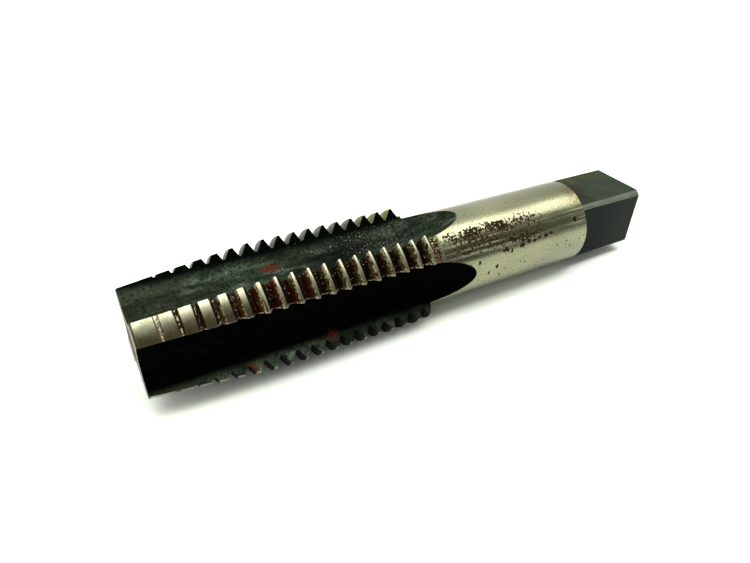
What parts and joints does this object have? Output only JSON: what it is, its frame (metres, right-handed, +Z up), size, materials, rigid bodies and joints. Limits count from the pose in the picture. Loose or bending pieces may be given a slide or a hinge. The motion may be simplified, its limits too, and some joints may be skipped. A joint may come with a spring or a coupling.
{
  "type": "thread tap",
  "caption": "Straight-fluted taper hand tap with a right-hand thread, round shank and driving square.",
  "frame": {"origin": "on the surface the tap lies on, under the middle of its length", "axes": "+X along the tap's axis, from the cutting end to the driving square; +Z up"},
  "size_m": [0.1382, 0.0246, 0.0246],
  "materials": {
    "steel": "satin ground lands and shank, black oxide in the flutes and on the square"
  },
  "bodies": {
    "root": {"tap": "steel"}
  },
  "joints": []
}
